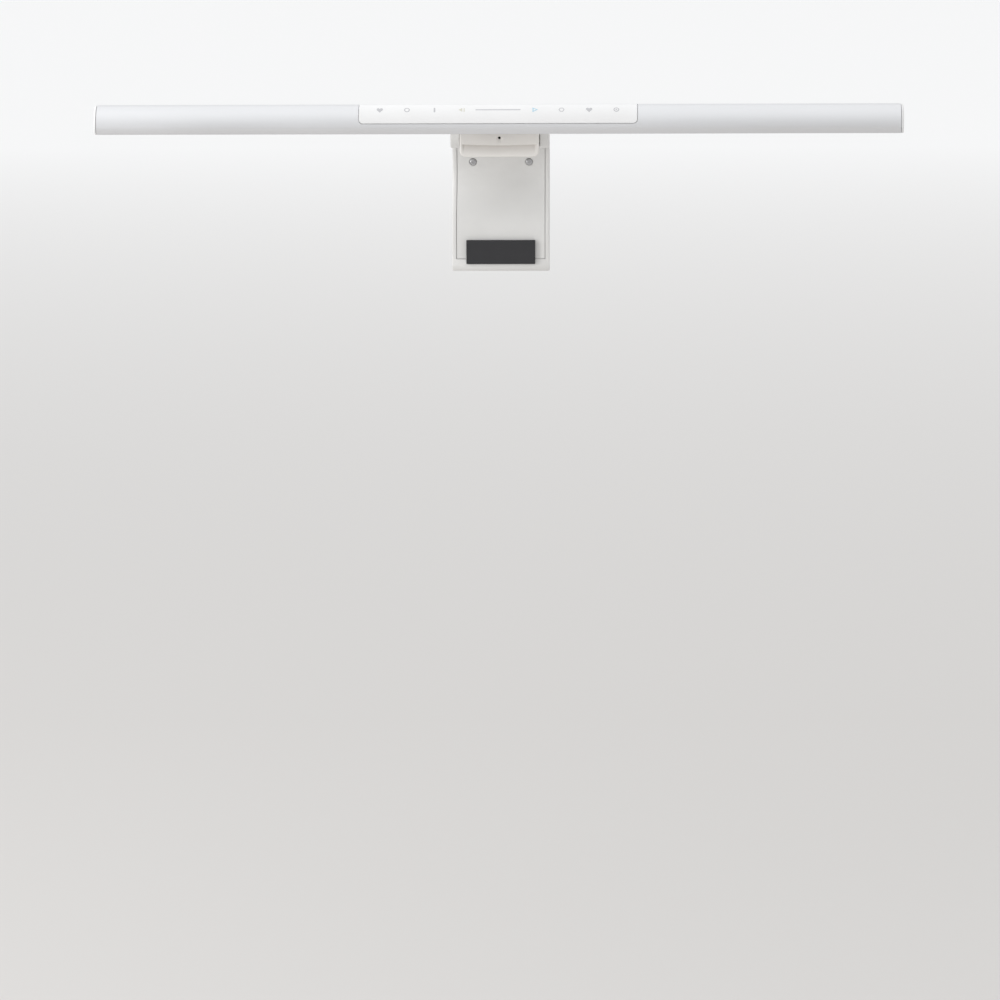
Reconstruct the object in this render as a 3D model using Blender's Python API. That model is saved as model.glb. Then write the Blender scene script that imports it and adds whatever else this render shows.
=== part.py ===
"""Monitor light bar: a lamp on a tilt hinge, a clamp seated on the monitor's top edge and a
counterweight arm behind it.  Millimetres here, metres in the scene.  X runs along the bar, -Y faces
the user, +Z is up, and the origin is the middle of the seat pad's underside."""

from math import cos, hypot, pi, radians, sin

import bmesh
import bpy

MM = 0.001                      # metres in a millimetre
GAP = 0.3                       # clearance between pieces that touch

# The lamp's section, as (y, z)
BAR_HALF = 248.4                # half the extrusion's length
CAP_END = 250.0                 # outer face of an end cap
BAR_FRONT = -56.0
BAR_REAR = -24.0
BAR_TOP = 30.6
BAR_BOTTOM = 13.0
NOSE_Y = -46.0                  # centre of the elliptical front
NOSE_Z = 17.1
REAR_RADIUS = 6.0
FOOT_RADIUS = 2.0
REAR_TOP = 30.2
LIP_Y = -54.3                   # lower front corner
WALL = 1.4
SLOT = (-51.0, -37.0)           # light window in the underside, front and rear edge

# Touch panel, let into the top and front of the bar
PANEL_HALF = 85.8
PANEL_BOTTOM = 19.7
PANEL_REAR = -30.9
PANEL_CORNER = 2.5
PANEL_PROUD = 0.3
PANEL_GROOVE = 0.5

# Lamp fittings
REAR_COVER_HALF = 56.0
USB_X = 44.0
USB_Z = 20.6
USB_SIZE = (4.5, 1.6)           # half width and half height of the socket's shell
LED_COUNT = 15
LED_PITCH = 16.0
BRACKET_SCREWS = [(x, z) for x in (-23.5, 23.5) for z in (16.6, 22.0)]

# Joints
TILT_AXIS = (-16.0, 18.5)
TILT_RADIUS = 5.0
BARREL_HALF = 7.6
KNUCKLE = (8.6, 20.0)
SHAFT_RADIUS = 2.0
SHAFT_HOLE = SHAFT_RADIUS + GAP
SWING_AXIS = (4.0, 10.0)
NOSE_RADIUS = 7.5               # rounding of the clamp body about the pin
PIN_POCKET = 8.4                # round pocket in the arm that clears it

# Clamp
BODY_HALF = 24.2
BODY_FRONT = -12.7
BODY_BOTTOM = 3.0
BODY_TOP = 17.5
PLATE_HALF = 24.95
PLATE_FRONT = -15.0
PLATE_REAR = -13.0
PLATE_BOTTOM = -3.5
PLATE_TOP = 12.5
PLATE_CORNER = 3.5
CREASE_Z = 4.3
PORT_Z = 7.2
PORT_RISE = 1.1                 # how much higher the port's narrow end lies
SEAT_TOP = 1.2
LIP_FACE = -12.0                # rear face of the lip pad, on the screen's front edge
BASE_SCREW = (19.0, -6.0)       # x and y of the screws under the seat

# Rear arm
EAR_INNER = 25.5
EAR_OUTER = 31.2
ARM_FACE = 18.0                 # pad face, on the back of a 30 mm thick monitor
FOOT_HALF = 6.0
FOOT_Y = ARM_FACE + 3.0 + FOOT_HALF
FOOT_TOP = -58.0
FOOT_LENGTH = 16.0
ARM_WALL = 1.8
COVER = 1.5
CHANNEL = (0.22, 0.975)         # stretch of the arm that is hollow, as shares of its length
COVER_STRETCH = (0.2225, 0.9725)
WEIGHT = (0.50, 0.965)          # stretch that the counterweight fills
COVER_SCREW = (18.0, -10.0)     # x and z of the screws in the inner cover


# ---------------------------------------------------------------- outlines

def arc(centre, radii, start, stop, steps):
    """Points on an ellipse between two angles in degrees."""
    angles = [radians(start + (stop - start) * i / steps) for i in range(steps + 1)]
    return [(centre[0] + radii[0] * cos(a), centre[1] + radii[1] * sin(a)) for a in angles]


def bezier(p0, p1, p2, p3, steps):
    """Points on a cubic curve, both ends included."""
    points = []
    for i in range(steps + 1):
        t = i / steps
        u = 1.0 - t
        weights = (u ** 3, 3 * u * u * t, 3 * u * t * t, t ** 3)
        points.append(tuple(sum(w * p[k] for w, p in zip(weights, (p0, p1, p2, p3))) for k in (0, 1)))
    return points


def rounded_rect(low, high, radius, steps=5):
    """A rectangle from its low to its high corner, with round corners."""
    corners = (((high[0] - radius, high[1] - radius), 0), ((low[0] + radius, high[1] - radius), 90),
               ((low[0] + radius, low[1] + radius), 180), ((high[0] - radius, low[1] + radius), 270))
    points = []
    for centre, start in corners:
        points += arc(centre, (radius, radius), start, start + 90, steps)
    return points


def circle(centre, radius, steps=28):
    """A closed ring of points."""
    return arc(centre, (radius, radius), 0, 360 - 360 / steps, steps - 1)


def bar_shell(inset):
    """The bar's section from the lower front corner, over the top, to the lower rear corner."""
    front = BAR_FRONT + inset
    base = BAR_BOTTOM + inset
    lip = LIP_Y + inset * 0.8
    band = bezier((lip, base), (lip - 0.7, base + 1.0), (front, base + 2.6), (front, NOSE_Z), 5)
    nose = arc((NOSE_Y, NOSE_Z), (NOSE_Y - BAR_FRONT - inset, BAR_TOP - NOSE_Z - inset), 180, 90, 16)
    back = arc((BAR_REAR - REAR_RADIUS, REAR_TOP - REAR_RADIUS),
               (REAR_RADIUS - inset, REAR_RADIUS - inset), 90, 0, 7)
    foot = arc((BAR_REAR - FOOT_RADIUS, BAR_BOTTOM + FOOT_RADIUS),
               (FOOT_RADIUS - inset, FOOT_RADIUS - inset), 0, -90, 4)
    return band + nose[1:] + back + foot


def arm_middle():
    """The arm's middle line from the pivot, over and behind the monitor, down to the foot."""
    line = bezier(SWING_AXIS, (20.0, 16.0), (43.0, 14.0), (45.0, -14.0), 48)
    line += bezier((45.0, -14.0), (46.0, -32.0), (FOOT_Y, -38.0), (FOOT_Y, FOOT_TOP), 40)[1:]
    return line + [(FOOT_Y, FOOT_TOP - FOOT_LENGTH)]


def arm_at(share):
    """The point at a share of the middle line's length, with the outward normal there."""
    line = arm_middle()
    runs = [hypot(b[0] - a[0], b[1] - a[1]) for a, b in zip(line, line[1:])]
    left = share * sum(runs)
    for a, b, run in zip(line, line[1:], runs):
        if left <= run or b == line[-1]:
            along = left / run
            step = (b[0] - a[0], b[1] - a[1])
            return (a[0] + step[0] * along, a[1] + step[1] * along), (-step[1] / run, step[0] / run)
        left -= run


def arm_half(share):
    """Half the arm's thickness: stout at the pivot, slim over the monitor, stout at the foot."""
    return 4.9 + 1.6 * max(0.0, 1.0 - share / 0.25) + (FOOT_HALF - 4.9) * min(1.0, share / 0.75)


def arm_band(outer, inner, start, stop, steps):
    """A stretch of the arm between two offsets; each is a function of half the thickness."""
    top, low = [], []
    for i in range(steps + 1):
        share = start + (stop - start) * i / steps
        (y, z), (ny, nz) = arm_at(share)
        half = arm_half(share)
        top.append((y + ny * outer(half), z + nz * outer(half)))
        low.append((y - ny * inner(half), z - nz * inner(half)))
    return top, low[::-1]


# ---------------------------------------------------------------- meshes

def prism(axis, outline, low, high):
    """Extrude an outline along X, Y or Z.  For Y the outline is (x, z) and for Z it is (x, y)."""
    place = {"X": lambda p, d: (d, p[0], p[1]),
             "Y": lambda p, d: (p[0], d, p[1]),
             "Z": lambda p, d: (p[0], p[1], d)}[axis]
    mesh = bmesh.new()
    face = mesh.faces.new([mesh.verts.new([c * MM for c in place(p, low)]) for p in outline])
    pushed = bmesh.ops.extrude_face_region(mesh, geom=[face])["geom"]
    travel = [(b - a) * MM for a, b in zip(place((0, 0), low), place((0, 0), high))]
    bmesh.ops.translate(mesh, verts=[v for v in pushed if isinstance(v, bmesh.types.BMVert)],
                        vec=travel)
    bmesh.ops.recalc_face_normals(mesh, faces=mesh.faces)
    return mesh


def turned(axis, centre, profile, steps=24):
    """Turn a profile of (radius, distance along the axis) points into a closed round solid."""
    place = {"X": lambda r, a, d: (d, centre[0] + r * cos(a), centre[1] + r * sin(a)),
             "Y": lambda r, a, d: (centre[0] + r * cos(a), d, centre[1] + r * sin(a)),
             "Z": lambda r, a, d: (centre[0] + r * cos(a), centre[1] + r * sin(a), d)}[axis]
    mesh = bmesh.new()
    rings = []
    for radius, along in profile:
        angles = [2 * pi * i / steps for i in range(steps)]
        rings.append([mesh.verts.new([c * MM for c in place(radius, a, along)]) for a in angles])
    for low, high in zip(rings, rings[1:]):
        for i in range(steps):
            j = (i + 1) % steps
            mesh.faces.new((low[i], low[j], high[j], high[i]))
    mesh.faces.new(rings[0])
    mesh.faces.new(rings[-1])
    bmesh.ops.recalc_face_normals(mesh, faces=mesh.faces)
    return mesh


def ring(axis, centre, outer, inner, low, high, steps=24):
    """A washer: a turned solid whose profile closes on itself round a hole."""
    mesh = turned(axis, centre, [(inner, low), (outer, low), (outer, high), (inner, high)], steps)
    caps = [f for f in mesh.faces if len(f.verts) == steps]
    bmesh.ops.delete(mesh, geom=caps, context="FACES_ONLY")
    open_edges = [e for e in mesh.edges if e.is_boundary]
    bmesh.ops.bridge_loops(mesh, edges=open_edges)
    bmesh.ops.recalc_face_normals(mesh, faces=mesh.faces)
    return mesh


# ---------------------------------------------------------------- objects

def material(name, colour, roughness, metallic=0.0):
    """A plain Principled material, made once."""
    if name in bpy.data.materials:
        return bpy.data.materials[name]
    made = bpy.data.materials.new(name)
    made.use_nodes = True
    shader = made.node_tree.nodes["Principled BSDF"]
    shader.inputs["Base Color"].default_value = (*colour, 1.0)
    shader.inputs["Roughness"].default_value = roughness
    shader.inputs["Metallic"].default_value = metallic
    return made


FINISHES = {
    "silver": ((0.66, 0.67, 0.69), 0.42, 0.9),
    "panel_white": ((0.86, 0.86, 0.86), 0.35, 0.0),
    "warm_white": ((0.66, 0.64, 0.61), 0.5, 0.0),
    "opal": ((0.82, 0.82, 0.80), 0.45, 0.0),
    "silicone": ((0.10, 0.10, 0.11), 0.8, 0.0),
    "steel": ((0.55, 0.55, 0.56), 0.35, 1.0),
    "zinc": ((0.42, 0.42, 0.43), 0.55, 1.0),
    "board": ((0.03, 0.16, 0.07), 0.5, 0.0),
    "bright": ((0.85, 0.85, 0.86), 0.15, 1.0),
    "acetal": ((0.75, 0.74, 0.70), 0.5, 0.0),
    "smoked": ((0.03, 0.03, 0.035), 0.15, 0.0),
}


def hinge_empty(name, axis):
    """An empty on a joint's axis, which carries the pieces that turn about it."""
    empty = bpy.data.objects.new(name, None)
    empty.location = (0.0, axis[0] * MM, axis[1] * MM)
    bpy.context.scene.collection.objects.link(empty)
    return empty


def piece(name, mesh, carrier, finish, bevel=0.0):
    """Make a named object from a mesh given in the whole part's frame."""
    data = bpy.data.meshes.new(name)
    mesh.to_mesh(data)
    mesh.free()
    data.shade_smooth()
    data.set_sharp_from_angle(angle=radians(35))
    made = bpy.data.objects.new(name, data)
    bpy.context.scene.collection.objects.link(made)
    if carrier:
        made.parent = carrier
        made.location = -carrier.location
    if finish:
        data.materials.append(material(finish, *FINISHES[finish]))
    if bevel:
        edge = made.modifiers.new("soft edges", "BEVEL")
        edge.width = bevel * MM
        edge.segments = 2
        edge.limit_method = "ANGLE"
        edge.angle_limit = radians(50)
    return made


def combine(target, mesh, operation):
    """Boolean a mesh into a target and keep the cutter out of the model."""
    cutter = piece("cutter", mesh, target.parent, None)
    cutter.hide_render = True
    cutter.display_type = "WIRE"
    step = target.modifiers.new(operation.lower(), "BOOLEAN")
    step.operation = operation
    step.solver = "EXACT"
    step.object = cutter


def cut(target, mesh):
    combine(target, mesh, "DIFFERENCE")


def join(target, mesh):
    combine(target, mesh, "UNION")


def screw(name, axis, centre, head, shank, carrier):
    """A pan-head screw: head and shank are (radius, start, end) along the axis."""
    profile = [(head[0] * 0.75, head[1]), (head[0], head[1] + (head[2] - head[1]) * 0.5),
               (head[0], head[2]), (shank[0], head[2]), (shank[0], shank[2])]
    return piece(name, turned(axis, centre, profile, 16), carrier, "steel")


SIDES = (("left", -1), ("right", 1))


def span(side, low, high):
    """An X range on one side, in rising order."""
    return sorted((side * low, side * high))


# ---------------------------------------------------------------- lamp

def panel_opening(grow, bottom, rear):
    """A block with round lower corners that the panel and its opening share."""
    half = PANEL_HALF + grow
    outline = arc((half - PANEL_CORNER - grow, bottom + PANEL_CORNER + grow),
                  (PANEL_CORNER + grow, PANEL_CORNER + grow), 270, 360, 6)
    outline += [(half, 40.0), (-half, 40.0)]
    outline += arc((-half + PANEL_CORNER + grow, bottom + PANEL_CORNER + grow),
                   (PANEL_CORNER + grow, PANEL_CORNER + grow), 180, 270, 6)
    return prism("Y", outline, -62.0, rear)


def lamp_housing(lamp):
    """The slotted hollow extrusion, with the panel's opening and the rear cover's opening."""
    outline = [(SLOT[0], BAR_BOTTOM)] + bar_shell(0.0) + [(SLOT[1], BAR_BOTTOM)]
    outline += [(SLOT[1], BAR_BOTTOM + WALL)] + bar_shell(WALL)[::-1] + [(SLOT[0], BAR_BOTTOM + WALL)]
    housing = piece("lamp_housing", prism("X", outline, -BAR_HALF, BAR_HALF), lamp, "silver")
    cut(housing, panel_opening(PANEL_GROOVE, PANEL_BOTTOM - PANEL_GROOVE, PANEL_REAR + PANEL_GROOVE))
    rear = rounded_rect((-REAR_COVER_HALF - GAP, 15.5 - GAP), (REAR_COVER_HALF + GAP, 23.9 + GAP), 1.5)
    cut(housing, prism("Y", rear, -26.5, -22.0))


def rear_cover(lamp):
    """The moulded cover let into the back wall, with the socket's mouth and the screw holes."""
    outline = rounded_rect((-REAR_COVER_HALF, 15.5), (REAR_COVER_HALF, 23.9), 1.2)
    cover = piece("rear_cover", prism("Y", outline, BAR_REAR - 1.3, BAR_REAR), lamp, "warm_white")
    mouth = rounded_rect((USB_X - USB_SIZE[0] - GAP, USB_Z - USB_SIZE[1] - GAP),
                         (USB_X + USB_SIZE[0] + GAP, USB_Z + USB_SIZE[1] + GAP), 1.6)
    cut(cover, prism("Y", mouth, -27.0, -22.0))
    for hole in BRACKET_SCREWS:
        cut(cover, prism("Y", circle(hole, 1.3, 14), -27.0, -22.0))


def end_caps(lamp):
    """Thin domed caps, each with a block that plugs into the extrusion."""
    for word, side in SIDES:
        low, high = span(side, BAR_HALF + GAP, CAP_END)
        cap = piece(f"end_cap_{word}", prism("X", bar_shell(0.0), low, high), lamp, "silver")
        dome = cap.modifiers.new("dome", "BEVEL")
        dome.width = 0.6 * MM
        dome.segments = 3
        dome.limit_method = "ANGLE"
        dome.angle_limit = radians(60)
        low, high = span(side, 244.5, BAR_HALF + 0.8)
        join(cap, prism("X", rounded_rect((-51.0, 16.8), (-28.0, 27.6), 3.0), low, high))


def touch_panel(lamp):
    """The white panel: a skin that follows the bar's section and stands a little proud."""
    rise = arc((NOSE_Y, NOSE_Z), (NOSE_Y - BAR_FRONT + PANEL_PROUD, BAR_TOP - NOSE_Z + PANEL_PROUD),
               169, 90, 16)
    inside = arc((NOSE_Y, NOSE_Z), (NOSE_Y - BAR_FRONT - 1.3, BAR_TOP - NOSE_Z - 1.3), 90, 165, 14)
    outline = rise + [(PANEL_REAR + 1.0, REAR_TOP + PANEL_PROUD + 0.05), (PANEL_REAR + 1.0, 28.85)] + inside
    panel = piece("touch_panel", prism("X", outline, -PANEL_HALF - 1, PANEL_HALF + 1), lamp, "panel_white")
    combine(panel, panel_opening(0.0, PANEL_BOTTOM, PANEL_REAR), "INTERSECT")


def touch_electronics(lamp):
    """The key board under the panel, its slider light guide and the controller board."""
    piece("touch_board", prism("Z", rounded_rect((-82.0, -47.0), (82.0, -33.0), 1.5), 25.2, 26.4),
          lamp, "board")
    piece("slider_light_guide", prism("Z", rounded_rect((-14.5, -46.0), (14.5, -43.4), 1.0), 26.7, 28.4),
          lamp, "opal", 0.3)
    board = piece("control_board", prism("Z", rounded_rect((28.5, -33.6), (66.0, -26.0), 0.8), 17.2, 18.4),
                  lamp, "board")
    chip = rounded_rect((54.0, -32.4), (61.0, -28.0), 0.2, 2)
    join(board, prism("Z", chip, 18.2, 19.4))


def usb_c_receptacle(lamp):
    """A folded steel shell, open to the rear, with the contact tongue inside it."""
    low = (USB_X - USB_SIZE[0], USB_Z - USB_SIZE[1])
    high = (USB_X + USB_SIZE[0], USB_Z + USB_SIZE[1])
    shell = piece("usb_c_receptacle", prism("Y", rounded_rect(low, high, 1.5), -31.6, -23.9), lamp, "steel")
    wall = 0.35
    inner = rounded_rect((low[0] + wall, low[1] + wall), (high[0] - wall, high[1] - wall), 1.2)
    cut(shell, prism("Y", inner, -30.4, -23.0))
    join(shell, prism("Y", rounded_rect((USB_X - 3.2, USB_Z - 0.35), (USB_X + 3.2, USB_Z + 0.35), 0.2, 2),
                      -31.0, -25.4))


def light_engine(lamp):
    """Rail, light boards, reflector and the diffuser in the underside's window."""
    rail = [(-51.6, 16.0), (-50.4, 16.0), (-50.4, 22.2), (-36.4, 22.2), (-36.4, 23.8), (-51.6, 23.8)]
    piece("heat_sink_rail", prism("X", rail, -243.0, 243.0), lamp, "zinc")
    for word, side in SIDES:
        low, high = span(side, 2.0, 242.0)
        board = piece(f"led_board_{word}", prism("X", [(-49.4, 20.7), (-38.4, 20.7), (-38.4, 21.9),
                                                       (-49.4, 21.9)], low, high), lamp, "panel_white")
        for step in range(LED_COUNT):
            x = side * (8.0 + LED_PITCH * step)
            join(board, prism("Z", rounded_rect((x - 1.5, -45.4), (x + 1.5, -42.4), 0.3, 1), 20.0, 20.9))
    face = bezier((-37.6, 21.8), (-36.4, 20.4), (-35.6, 18.0), (-35.4, 16.0), 8)
    back = [(y + 0.6, z) for y, z in face[::-1]]
    piece("reflector", prism("X", face + back, -242.0, 242.0), lamp, "bright")
    window = [(SLOT[0] + GAP, BAR_BOTTOM + 0.2), (SLOT[1] - GAP, BAR_BOTTOM + 0.2),
              (SLOT[1] - GAP, BAR_BOTTOM + WALL + GAP), (SLOT[1] + 1.2, BAR_BOTTOM + WALL + GAP),
              (SLOT[1] + 1.2, 15.6), (SLOT[0] - 1.0, 15.6),
              (SLOT[0] - 1.0, BAR_BOTTOM + WALL + GAP), (SLOT[0] + GAP, BAR_BOTTOM + WALL + GAP)]
    piece("light_diffuser", prism("X", window, -248.0, 248.0), lamp, "opal")


def tilt_bracket(lamp):
    """The hinge's lamp side: a plate on the back wall with one barrel, backed by a tapped plate."""
    y, z = TILT_AXIS
    bracket = piece("tilt_bracket", prism("Y", rounded_rect((-27.0, 14.3), (27.0, 24.3), 2.0),
                                          BAR_REAR + GAP, BAR_REAR + 2.1), lamp, "steel", 0.3)
    neck = [(BAR_REAR + 1.0, 14.8), (y, z - TILT_RADIUS)]
    neck += arc(TILT_AXIS, (TILT_RADIUS, TILT_RADIUS), -75, 75, 14)
    neck += [(y, z + TILT_RADIUS), (BAR_REAR + 1.0, 23.6)]
    join(bracket, prism("X", neck, -BARREL_HALF, BARREL_HALF))
    cut(bracket, prism("X", circle(TILT_AXIS, SHAFT_HOLE), -9.0, 9.0))
    backing = piece("bracket_backing_plate", prism("Y", rounded_rect((-27.0, 15.6), (27.0, 23.6), 1.5),
                                                   BAR_REAR - 3.1, BAR_REAR - 1.6), lamp, "steel")
    for number, hole in enumerate(BRACKET_SCREWS, 1):
        cut(bracket, prism("Y", circle(hole, 1.3, 14), -24.5, -21.0))
        cut(backing, prism("Y", circle(hole, 1.3, 14), -28.0, -25.0))
        screw(f"bracket_screw_{number}", "Y", hole, (1.9, BAR_REAR + 3.5, BAR_REAR + 2.4),
              (1.0, 0.0, BAR_REAR - 4.0), lamp)


# ---------------------------------------------------------------- clamp

def clamp_body():
    """The bridge over the monitor: a block round the arm's pin, with two knuckles for the shaft."""
    flat = (NOSE_RADIUS ** 2 - (SWING_AXIS[1] - BODY_BOTTOM) ** 2) ** 0.5
    outline = [(BODY_FRONT, BODY_BOTTOM), (SWING_AXIS[0] - flat, BODY_BOTTOM)]
    outline += arc(SWING_AXIS, (NOSE_RADIUS, NOSE_RADIUS), -105, 90, 20)
    outline += [(BODY_FRONT + 2.0, BODY_TOP), (BODY_FRONT, BODY_TOP - 2.0)]
    body = piece("clamp_body", prism("X", outline, -BODY_HALF, BODY_HALF), None, "warm_white", 0.4)
    for _, side in SIDES:
        knuckle = arc(TILT_AXIS, (TILT_RADIUS, TILT_RADIUS), 45, 270, 18)
        knuckle += [(-11.0, 13.4), (-8.0, 13.4), (-8.0, 17.0)]
        join(body, prism("X", knuckle, *span(side, *KNUCKLE)))
    cut(body, prism("X", circle(TILT_AXIS, TILT_RADIUS + 0.7), -KNUCKLE[0] + 0.05, KNUCKLE[0] - 0.05))
    cut(body, prism("X", circle(TILT_AXIS, SHAFT_HOLE), -26.0, 26.0))
    cut(body, prism("X", circle(SWING_AXIS, SHAFT_HOLE), -26.0, 26.0))
    cut(body, prism("Y", rounded_rect((-15.0, 4.2), (15.0, 11.4), 1.0), -14.0, -7.0))
    for _, side in SIDES:
        cut(body, prism("Z", circle((side * BASE_SCREW[0], BASE_SCREW[1]), 1.2, 14), 2.0, 8.6))


def clamp_base():
    """The plate under the bridge, its screws, and the two silicone pads."""
    base = piece("clamp_base_plate", prism("Z", rounded_rect((-23.5, -12.4), (23.5, 0.8), 2.0), 1.5, 2.7),
                 None, "warm_white")
    for word, side in SIDES:
        centre = (side * BASE_SCREW[0], BASE_SCREW[1])
        cut(base, prism("Z", circle(centre, 2.2, 18), 1.0, 3.2))
        screw(f"base_screw_{word}", "Z", centre, (1.9, 1.6, 2.6), (0.9, 0.0, 8.2), None)
    piece("seat_pad", prism("Z", rounded_rect((-20.0, -10.0), (20.0, 8.0), 2.0), 0.0, SEAT_TOP),
          None, "silicone")
    piece("lip_pad", prism("Y", rounded_rect((-20.0, -3.0), (20.0, -0.4), 1.0), PLATE_REAR + GAP, LIP_FACE),
          None, "silicone")


def clamp_front_plate():
    """The plate in front of the bridge: round lower corners, a bowed crease over a shallow dish,
    and the sensor's conical port."""
    half = PLATE_HALF
    r = PLATE_CORNER
    outline = arc((half - r, PLATE_BOTTOM + r), (r, r), 270, 360, 6)
    outline += [(half, PLATE_TOP), (-half, PLATE_TOP)]
    outline += arc((-half + r, PLATE_BOTTOM + r), (r, r), 180, 270, 6)
    plate = piece("clamp_front_plate", prism("Y", outline, PLATE_FRONT, PLATE_REAR), None, "warm_white", 0.5)
    inset = 1.3
    low = PLATE_BOTTOM + inset
    dish = arc((half - r, PLATE_BOTTOM + r), (r - inset, r - inset), 270, 360, 5)
    dish += arc((0.0, CREASE_Z + 60.0), (60.0, 60.0 + 1.0), 270 + 22.5, 270 - 22.5, 18)
    dish += arc((-half + r, PLATE_BOTTOM + r), (r - inset, r - inset), 180, 270, 5)
    dish = [(x, max(z, low)) for x, z in dish]
    cut(plate, prism("Y", dish, PLATE_FRONT - 1.0, PLATE_FRONT + 0.5))
    cut(plate, sensor_port())


def sensor_port():
    """A slanted funnel: wide at the face, with its narrow end higher up."""
    mesh = turned("Y", (0.0, PORT_Z), [(2.35, -15.3), (0.95, -14.0), (0.95, -12.5)], 20)
    deep = [v for v in mesh.verts if v.co.y > -14.5 * MM]
    bmesh.ops.translate(mesh, verts=deep, vec=(0.0, 0.0, PORT_RISE * MM))
    return mesh


def motion_sensor():
    """The lens in the port and the small board behind it."""
    eye = (0.0, PORT_Z + PORT_RISE)
    piece("motion_sensor_lens", turned("Y", eye, [(0.25, -13.9), (0.45, -13.75), (0.62, -13.4),
                                                  (0.62, -12.8)], 16), None, "smoked")
    board = piece("motion_sensor_board", prism("Y", rounded_rect((-13.0, 5.0), (13.0, 10.6), 0.8),
                                               -11.8, -10.6), None, "board")
    join(board, turned("Y", eye, [(1.8, -12.4), (1.8, -11.4)], 16))


def tilt_hardware():
    """The shaft through the knuckles, its friction washers and its end nuts."""
    piece("tilt_shaft", turned("X", TILT_AXIS, [(1.6, -22.4), (SHAFT_RADIUS, -22.0), (SHAFT_RADIUS, 22.0),
                                                (1.6, 22.4)]), None, "steel")
    for word, side in SIDES:
        piece(f"friction_washer_{word}", ring("X", TILT_AXIS, 4.6, SHAFT_HOLE, *span(side, 7.9, 8.3)),
              None, "acetal")
        piece(f"shaft_nut_{word}", ring("X", TILT_AXIS, 3.6, SHAFT_HOLE, *span(side, 20.3, 21.7), 6),
              None, "steel")


# ---------------------------------------------------------------- rear arm

def arm_shell(arm):
    """The arm's casing: two ears on the pin, joined by a channel that runs behind the monitor."""
    top, low = arm_band(lambda h: h, lambda h: h, 0.14, 1.0, 31)
    foot = (FOOT_Y, FOOT_TOP - FOOT_LENGTH)
    outline = arc((1.5, 7.7), (6.5, 6.5), 270, 180, 8) + arc((1.0, 12.6), (6.0, 6.0), 180, 90, 8)
    outline += top + arc(foot, (FOOT_HALF, 5.0), 0, -180, 12)[1:-1] + low
    outline += arc(SWING_AXIS, (8.8, 8.8), -32, -90, 6)
    shell = piece("arm_shell", prism("X", outline, -EAR_OUTER, EAR_OUTER), arm, "warm_white", 0.8)
    pocket = [(-10.0, -4.0), (SWING_AXIS[0] + 3.0, -4.0)]
    pocket += arc(SWING_AXIS, (PIN_POCKET, PIN_POCKET), -70.5, 70.5, 16)
    pocket += [(SWING_AXIS[0] + 3.0, 25.0), (-10.0, 25.0)]
    cut(shell, prism("X", pocket, -EAR_INNER, EAR_INNER))
    top, low = arm_band(lambda h: h - ARM_WALL, lambda h: h + 1.0, *CHANNEL, 24)
    cut(shell, prism("X", top + low, -28.4, 28.4))
    for _, side in SIDES:
        x, height = side * COVER_SCREW[0], COVER_SCREW[1]
        join(shell, turned("Y", (x, height), [(2.4, 43.0), (2.4, 49.0)], 18))
        cut(shell, turned("Y", (x, height), [(1.2, 42.0), (1.2, 47.4)], 14))
        cut(shell, turned("X", SWING_AXIS, [(SHAFT_HOLE, e) for e in span(side, 24.0, 33.0)]))
        cut(shell, turned("X", SWING_AXIS, [(4.9, e) for e in span(side, 30.0, 33.0)]))


def arm_inner_cover(arm):
    """The cover that closes the channel on the monitor's side."""
    top, low = arm_band(lambda h: COVER - h, lambda h: h, *COVER_STRETCH, 24)
    cover = piece("arm_inner_cover", prism("X", top + low, -28.1, 28.1), arm, "warm_white")
    for word, side in SIDES:
        centre = (side * COVER_SCREW[0], COVER_SCREW[1])
        cut(cover, turned("Y", centre, [(1.3, 34.0), (1.3, 44.0)], 14))
        cut(cover, turned("Y", centre, [(2.5, 34.0), (2.5, 39.9)], 18))
        screw(f"arm_cover_screw_{word}", "Y", centre, (2.1, 38.3, 39.6), (0.9, 0.0, 47.0), arm)


def arm_inside(arm):
    """The counterweight in the channel and the pad on the foot."""
    top, low = arm_band(lambda h: h - ARM_WALL - GAP, lambda h: h - COVER - GAP, *WEIGHT, 14)
    piece("counterweight", prism("X", top + low, -27.9, 27.9), arm, "zinc")
    pad = rounded_rect((ARM_FACE, -74.0), (ARM_FACE + 2.7, -58.6), 1.2)
    piece("arm_pad", prism("X", pad, -22.0, 22.0), arm, "silicone")


def arm_hardware(arm):
    """The pin that the arm swings on, its bushes and the caps in the ears."""
    piece("arm_pin", turned("X", SWING_AXIS, [(1.6, -29.8), (SHAFT_RADIUS, -29.4), (SHAFT_RADIUS, 29.4),
                                              (1.6, 29.8)]), None, "steel")
    for word, side in SIDES:
        piece(f"arm_bush_{word}", ring("X", SWING_AXIS, 5.5, SHAFT_HOLE, *span(side, 24.5, 25.2)),
              None, "acetal")
        edge = [(4.5, 30.2), (4.5, 31.0), (4.2, 31.2)]
        piece(f"pin_cap_{word}", turned("X", SWING_AXIS, [(r, side * x) for r, x in edge], 28),
              arm, "warm_white")


def build():
    """Clear the scene and model every piece."""
    for old in list(bpy.data.objects):
        bpy.data.objects.remove(old, do_unlink=True)
    lamp = hinge_empty("lamp_tilt_axis", TILT_AXIS)
    arm = hinge_empty("arm_swing_axis", SWING_AXIS)
    for make in (lamp_housing, rear_cover, end_caps, touch_panel, touch_electronics, usb_c_receptacle,
                 light_engine, tilt_bracket):
        make(lamp)
    for make in (clamp_body, clamp_base, clamp_front_plate, motion_sensor, tilt_hardware):
        make()
    for make in (arm_shell, arm_inner_cover, arm_inside, arm_hardware):
        make(arm)


build()
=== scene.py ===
"""Looks of the monitor light bar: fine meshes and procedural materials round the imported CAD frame.
Lengths are in metres; MM turns the small sizes below into metres."""

from math import cos, hypot, pi, radians, sin, sqrt

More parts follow.
